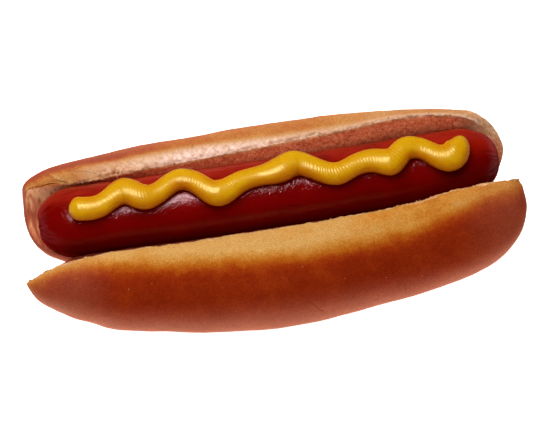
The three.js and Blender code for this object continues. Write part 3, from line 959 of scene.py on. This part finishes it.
def crust_color(graph, uneven, cores, edges):
    """Browned by how well it is baked, specked, paler underneath (partly painted sheen), mottled and cracked
    (painted shade in the hairlines).
    """
    unevenly = graph.math("SUBTRACT", uneven, MEAN_GRAIN)
    color = graph.ramp(graph.math("ADD", graph.read("bake"), unevenly), CRUST)
    for size, share, radius, strength, tone in CRUST_SPECKS:
        mask = graph.group(SPECKS, Size=size, Share=share, Radius=radius)["Mask"]
        color = graph.tint(mask, strength, color, tone)
    # Paler and pinker where the crust turns down: partly its own underside, partly painted sheen.
    color = graph.mix(graph.read("under_and_sheen"), color, srgb(UNDERSIDE_AND_SHEEN))
    color = graph.mix(1, color, graph.ramp(graph.grain(0.45, 3), MOTTLE), "MULTIPLY")
    color = graph.tint(edges, 0.4, color, CRACK_EDGE)
    # Painted shade in the depths of the cracks and creases.
    return graph.tint(cores, 0.9, color, HAIRLINE_SHADE)


def crumb_color(graph, broad, small, fine):
    """Bare crumb: lumpy; on the cut's wall fibrous and redder (partly painted red bounce light), with painted
    shade deep in the cut.
    """
    color = graph.ramp(graph.total((small, 0.7), (broad, 0.3)), CRUMB)
    # Redder on the cut's wall, partly painted red bounce light from the frankfurter.
    fibres = graph.ramp(graph.total((small, 0.4), (fine, 0.6)), CUT_WALL_WITH_BOUNCE)
    color = graph.mix(graph.read("wall"), color, fibres)
    # Painted shade deep in the cut.
    return graph.mix(graph.read("groove_shade"), color, srgb(GROOVE_SHADE))


def left_end_color(graph):
    """Streaks down the cut at the left end of the thin half, darker downwards; their light tones are painted
    light on this shaded end.
    """
    lay = graph.read("lay", "Vector")
    streaks = graph.noise(graph.vector("MULTIPLY", lay, (1, 0.2, 0)), 0.9, 3)[0]
    down = graph.add("SeparateXYZ", {"Vector": lay}).outputs["Y"]
    return graph.ramp(graph.math("ADD", streaks, graph.span(down, -18, 0, -0.1, 0.22)), LEFT_END_WITH_LIGHT)


def bread_material():
    """Crust where the bread is baked, torn crumb where it is cut or flawed, and flour beside the rim, partly
    a painted highlight.
    """
    material, graph, shader = new_material(
        "baked_bread", subsurface_weight=0.1, subsurface_radius=(1, 0.4, 0.18), subsurface_scale=1.6 * MM,
        specular_ior_level=0, coat_roughness=0.3, coat_ior=1.3)
    broad, middling, small, fine = (graph.grain(*kind) for kind in ((9, 2), (3, 2), (1.1, 3), (0.35, 2)))
    cores, edges = hairlines(graph)
    uneven = graph.total((broad, 0.36), (middling, 0.26), (small, 0.2), (fine, 0.3))
    frayed = graph.times(graph.math("SUBTRACT", small, 0.5), 0.9)
    bare = graph.span(graph.math("ADD", graph.read("crumb"), frayed), 0.35, 0.6)
    color = graph.mix(bare, crust_color(graph, uneven, cores, edges), crumb_color(graph, broad, small, fine))
    # Painted light on the shaded left end.
    color = graph.mix(graph.read("left_end"), color, left_end_color(graph))
    # Floury pale strip beside the thin rim, partly a painted highlight.
    flour_and_highlight = graph.ramp(graph.math("ADD", small, graph.read("tip_light_and_pit_shade")), FLOUR_AND_HIGHLIGHT)
    color = graph.mix(graph.read("floury_and_highlight"), color, flour_and_highlight)

    crust_height = graph.total((small, 0.12), (fine, 0.07), (cores, -0.25))
    crumb_height = graph.total((small, 0.3), (fine, 0.3))
    deeper = graph.times(graph.math("SUBTRACT", crumb_height, crust_height), bare)
    connect(graph, shader, graph.math("ADD", crust_height, deeper), 0.8, base_color=color,
            roughness=graph.span(bare, 0, 1, 0.42, 0.85), coat_weight=graph.read("glaze"))
    return material


def casing_material():
    """Dark red, oily skin: cloudy and streaked lengthwise, with painted light and shade: darker on the near
    side, lighter on the far side and at the right end.
    """
    material, graph, shader = new_material(
        "frankfurter_casing", subsurface_weight=0.1, subsurface_radius=(1, 0.15, 0.08),
        subsurface_scale=1.5 * MM, specular_ior_level=0.28, specular_tint=(1, 0.66, 0.69, 1))
    broad, small, fine = graph.grain(11, 2), graph.grain(1, 2), graph.grain(0.4, 1)
    streak = graph.group(STREAKS, Length=9, Width=0.5, Detail=2)["Height"]
    run = graph.add("SeparateXYZ", {"Vector": graph.read("run", "Vector")}).outputs
    # Painted light and shade: darker on the near side, lighter on the far side and towards the right end.
    across, along = graph.span(run["Y"], -9, 8, -0.16, 0.18), graph.span(run["X"], 46, 62, 0, 0.14)
    tone = graph.total((broad, 0.6), (streak, 0.4), (across, 1), (along, 1))
    connect(graph, shader, graph.total((small, 0.15), (streak, 0.03), (fine, 0.14)), 0.7,
            base_color=graph.ramp(tone, CASING), roughness=graph.span(streak, 0.3, 0.7, 0.08, 0.14))
    return material


def mustard_material():
    """Smooth yellow mustard: darker and more orange below the crest as painted shade, brighter orange on the
    far flank as painted rim light, uneven in patches, finely rippled across.
    """
    material, graph, shader = new_material(
        "yellow_mustard", subsurface_weight=0.12, subsurface_radius=(1, 0.55, 0.08),
        subsurface_scale=1.2 * MM, specular_ior_level=0.24, specular_tint=(1, 0.92, 0.45, 1))
    broad, fine = graph.grain(6, 2), graph.grain(0.5, 2)
    ripple = graph.group(STREAKS, Length=0.55, Width=3.5, Detail=1)["Height"]
    # Painted shade towards the lower flanks, lighter at the crest.
    crest = graph.math("ADD", graph.read("crest"), graph.span(broad, 0.3, 0.7, -0.05, 0.1))
    # Painted rim light on the far flank.
    color = graph.mix(graph.read("far_flank_rim_light"), graph.ramp(crest, MUSTARD), srgb(MUSTARD_RIM_LIGHT))
    connect(graph, shader, graph.total((ripple, 0.04), (fine, 0.02)), 0.8, base_color=color,
            roughness=graph.span(fine, 0.3, 0.7, 0.24, 0.34))
    return material


def crumb_material():
    """Loose crumbs: each between toasted tan and cream, with a grainy surface."""
    material, graph, shader = new_material(
        "toasted_crumbs", subsurface_weight=0.1, subsurface_radius=(1, 0.5, 0.25), subsurface_scale=MM,
        roughness=0.85)
    small = graph.grain(0.4, 2)
    color = graph.ramp(graph.total((graph.read("tone"), 1), (small, 0.4)), LOOSE_CRUMB)
    connect(graph, shader, graph.times(small, 0.2), 0.8, base_color=color)
    return material


# ---- Stage ----
# Angles are in degrees, and lengths in millimetres.
CAMERA = {"azimuth": -10, "elevation": 60, "distance": 800, "right": 1.86, "up": -7.3,
          "pixels_per_mm": 3.33, "frame_pixels": 550, "sensor": 36}

# Area lights in metres and watts: [name, place, size, power], and where they aren't white and aimed at
# the middle of the part, a colour and an aim. The cards only show as reflections.
PART_MIDDLE = (0, 0, 0.02)
SOFT_BOXES = [
    ("overhead_box", (-0.08, 0.03, 0.52), (0.3, 0.3), 1.65),
    ("back_box", (-0.04, 0.28, 0.44), (0.6, 0.2), 1.7),
    ("front_fill", (0, -0.3, 0.5), (0.6, 0.2), 0.2),
    ("low_fill", (0, -0.5, 0.035), (0.9, 0.05), 0.5),
]
CARDS = [
    ("overhead_glint", (-0.08, 0.04, 0.52), (0.28, 0.13), 5.2),
    ("backdrop_card", (0, 0.6, 0.24), (1.1, 0.4), 0.36, (1, 0.75, 0.5)),
    ("left_glow", (-0.18, -0.02, 0.004), (0.16, 0.2), 0.04, (1, 0.65, 0.68), (-0.18, -0.02, 1)),
    ("right_glow", (0.18, 0.02, 0.004), (0.16, 0.2), 0.04, (1, 0.65, 0.68), (0.18, 0.02, 1)),
]
SURROUND_STRENGTH = 0.03
FLOOR_HALF = 2.5


def make_camera():
    azimuth, elevation = math.radians(CAMERA["azimuth"]), math.radians(CAMERA["elevation"])
    right = Vector((math.cos(azimuth), math.sin(azimuth), 0))
    level = math.cos(elevation)
    back = Vector((math.sin(azimuth) * level, -math.cos(azimuth) * level, math.sin(elevation)))
    up = back.cross(right)
    aim = Vector(ORIGIN) + Vector((0, 0, FRANK_HEIGHT))
    place = aim + back * CAMERA["distance"] + right * CAMERA["right"] + up * CAMERA["up"]
    lens = bpy.data.cameras.new("camera")
    lens.sensor_width = CAMERA["sensor"]
    lens.lens = CAMERA["pixels_per_mm"] * CAMERA["distance"] * CAMERA["sensor"] / CAMERA["frame_pixels"]
    lens.clip_start = 0.05
    lens.clip_end = 10
    camera = add_object("camera", lens)
    camera.matrix_world = Matrix.Translation(place * MM) @ Matrix((right, up, back)).transposed().to_4x4()
    bpy.context.scene.camera = camera


def area_light(name, place, size, power, color=(1, 1, 1), aim=PART_MIDDLE):
    box = bpy.data.lights.new(name, "AREA")
    box.shape = "RECTANGLE"
    box.size, box.size_y = size
    box.energy = power
    box.color = color
    light = add_object(name, box)
    light.location = place
    light.rotation_euler = (Vector(aim) - Vector(place)).to_track_quat("-Z", "Y").to_euler()
    return light


def make_floor():
    """A white floor that gives off its own light, so that no shadow shows on it."""
    material, _, _ = new_material("pale_floor", base_color=(0.8, 0.8, 0.8, 1), roughness=0.9,
                                  emission_color=(1, 1, 1, 1), emission_strength=1)
    mesh = bpy.data.meshes.new("floor")
    corners = [(x * FLOOR_HALF, y * FLOOR_HALF, 0) for x, y in ((-1, -1), (1, -1), (1, 1), (-1, 1))]
    mesh.from_pydata(corners, [], [(0, 1, 2, 3)])
    mesh.materials.append(material)
    floor = add_object("floor", mesh)
    floor.visible_glossy = False


def make_stage():
    """The floor, the lights, and a faint surround that doesn't show in reflections."""
    make_floor()
    for settings in SOFT_BOXES:
        area_light(*settings).visible_glossy = False
    for settings in CARDS:
        card = area_light(*settings)
        card.visible_diffuse = False
        card.visible_camera = False

    world = bpy.data.worlds.new("surround")
    bpy.context.scene.world = world
    world.use_nodes = True
    background = world.node_tree.nodes["Background"].inputs
    background["Color"].default_value = (1, 1, 1, 1)
    background["Strength"].default_value = SURROUND_STRENGTH
    world.cycles_visibility.glossy = False
    bpy.context.scene.view_settings.view_transform = "Standard"


make_camera()
bread_skin = make_bun(bread_material())
make_frankfurter(casing_material())
make_mustard(mustard_material())
make_crumbs(crumb_material(), bread_skin)
make_stage()
